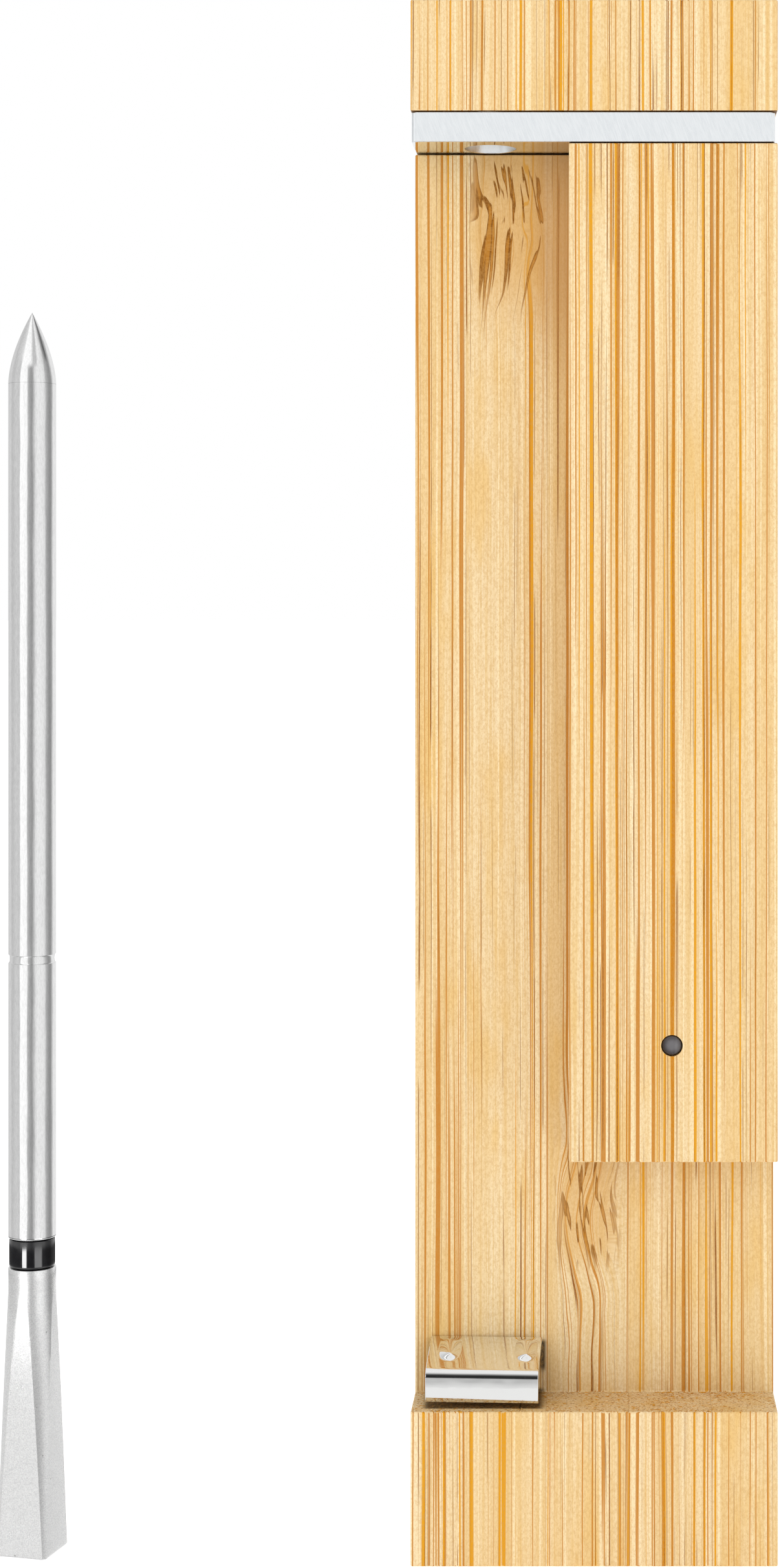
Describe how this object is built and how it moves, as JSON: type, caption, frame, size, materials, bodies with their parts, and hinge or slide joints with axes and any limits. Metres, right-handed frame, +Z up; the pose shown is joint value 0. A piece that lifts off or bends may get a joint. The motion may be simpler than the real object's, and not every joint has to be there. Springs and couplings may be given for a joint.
{
  "type": "meat thermometer",
  "caption": "Wireless meat probe, a pointed steel shaft with a black insulating ring and a flared metal handle, beside its bamboo charging block with a spring contact and magnetic back cover.",
  "frame": {"origin": "centre of the charging block's base, on the surface it stands on", "axes": "+Z up along the standing block, -Y out of the block's front, +X to the right of someone facing that front"},
  "size_m": [0.0815, 0.03, 0.162],
  "materials": {
    "bamboo": "satin, laminated bamboo with fine vertical fibres",
    "brushed_band": "brushed edge, polished underside",
    "probe_steel": "fine satin",
    "handle_metal": "bead blasted",
    "black_ceramic": "gloss",
    "spring_steel": "polished sheet",
    "black_plastic": "fine texture",
    "smoked_plastic": "smoked, clear",
    "circuit_green": "solder mask",
    "chip_black": "moulded",
    "bright_metal": "plated",
    "brass": "machined",
    "cell_sleeve": "plain film",
    "wire_red": "insulation",
    "lamp_white": "moulded"
  },
  "bodies": {
    "charger_block": {"bamboo_body": "bamboo", "top_cap": "bamboo", "contact_band": "brushed_band", "tip_contact_cup": "spring_steel", "cap_dowel_1": "bright_metal", "cap_dowel_2": "bright_metal", "light_pipe": "smoked_plastic", "clip_terminal": "brass", "terminal_screw": "bright_metal", "electronics_tray": "black_plastic", "circuit_board": "circuit_green", "radio_module": "bright_metal", "memory_chip": "chip_black", "crystal_can": "bright_metal", "chip_antenna": "lamp_white", "status_led": "lamp_white", "tact_switch": "chip_black", "battery_cell": "bright_metal", "battery_sleeve": "cell_sleeve", "battery_spring": "bright_metal", "negative_plate": "bright_metal", "positive_plate": "bright_metal", "band_lead": "wire_red", "clip_lead": "chip_black", "tray_screw_1": "bright_metal", "tray_screw_2": "bright_metal", "tray_screw_3": "bright_metal", "tray_screw_4": "bright_metal", "board_screw_1": "bright_metal", "board_screw_2": "bright_metal", "board_screw_3": "bright_metal", "board_screw_4": "bright_metal", "keeper_disc_1": "bright_metal", "keeper_disc_2": "bright_metal", "keeper_disc_3": "bright_metal", "keeper_disc_4": "bright_metal"},
    "spring_clip": {"contact_clip": "spring_steel"},
    "cover": {"back_cover": "bamboo", "cover_magnet_1": "bright_metal", "cover_magnet_2": "bright_metal", "cover_magnet_3": "bright_metal", "cover_magnet_4": "bright_metal", "fridge_magnet_1": "bright_metal", "fridge_magnet_2": "bright_metal"},
    "button": {"check_button": "black_plastic", "switch_plunger": "bright_metal"},
    "probe": {"probe_tip": "probe_steel", "probe_shaft": "probe_steel", "ceramic_ring": "black_ceramic", "probe_handle": "handle_metal", "probe_cell": "bright_metal", "sensor_strip": "circuit_green", "meat_sensor_1": "chip_black", "meat_sensor_2": "chip_black", "meat_sensor_3": "chip_black", "meat_sensor_4": "chip_black", "meat_sensor_5": "chip_black", "aerial_rod": "brass", "ambient_sensor": "chip_black"}
  },
  "joints": [
    {"name": "clip_press", "type": "hinge", "parent": "charger_block", "child": "spring_clip", "pos_m": [-0.01138, -0.0076, 0.01975], "axis": [0.9986, -0.0523, 0], "range_deg": [0, 3], "stiffness_Nm_per_rad": 0.2},
    {"name": "cover_pull", "type": "slide", "parent": "charger_block", "child": "cover", "axis": [0, 1, 0], "range_m": [0, 0.03]},
    {"name": "button_press", "type": "slide", "parent": "charger_block", "child": "button", "axis": [0, -1, 0], "range_m": [0, 0.00025], "stiffness_N_per_m": 1000, "springref_m": -0.0005},
    {"name": "probe_lift", "type": "slide", "parent": "charger_block", "child": "probe", "axis": [0, 0, 1], "range_m": [0, 0.15]}
  ]
}
